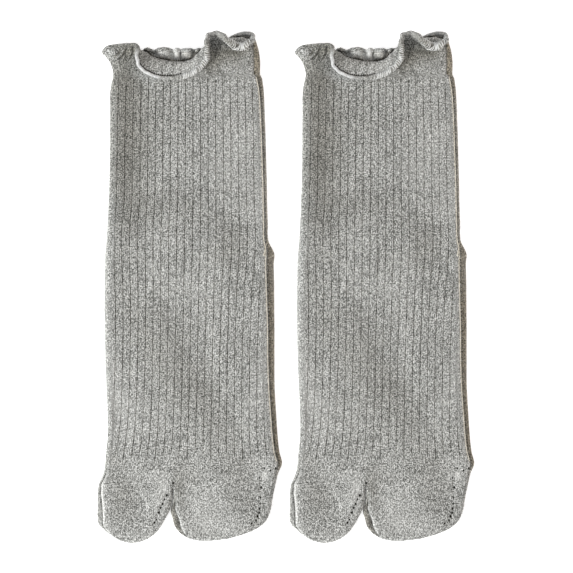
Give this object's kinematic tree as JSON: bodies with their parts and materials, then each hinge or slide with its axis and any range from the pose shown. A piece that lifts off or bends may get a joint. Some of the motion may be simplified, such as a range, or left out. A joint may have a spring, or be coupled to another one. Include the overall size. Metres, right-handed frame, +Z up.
{
  "type": "pair of tabi socks",
  "caption": "Pair of ribbed grey knit tabi socks with a split toe, ruffled rolled-edge mouth and folded heel, laid flat side by side.",
  "frame": {"origin": "on the surface that the socks lie on, under the middle of the pair's bounding box", "axes": "+X across the pair, +Y from the toes to the ruffled mouths, +Z up off the surface"},
  "size_m": [0.212, 0.287, 0.0139],
  "materials": {
    "heather_knit": "heather grey cotton-blend rib knit, matt, slightly fuzzy, with light and dark fibre flecks"
  },
  "bodies": {
    "root": {"sock_left": "heather_knit", "sock_right": "heather_knit"}
  },
  "joints": []
}
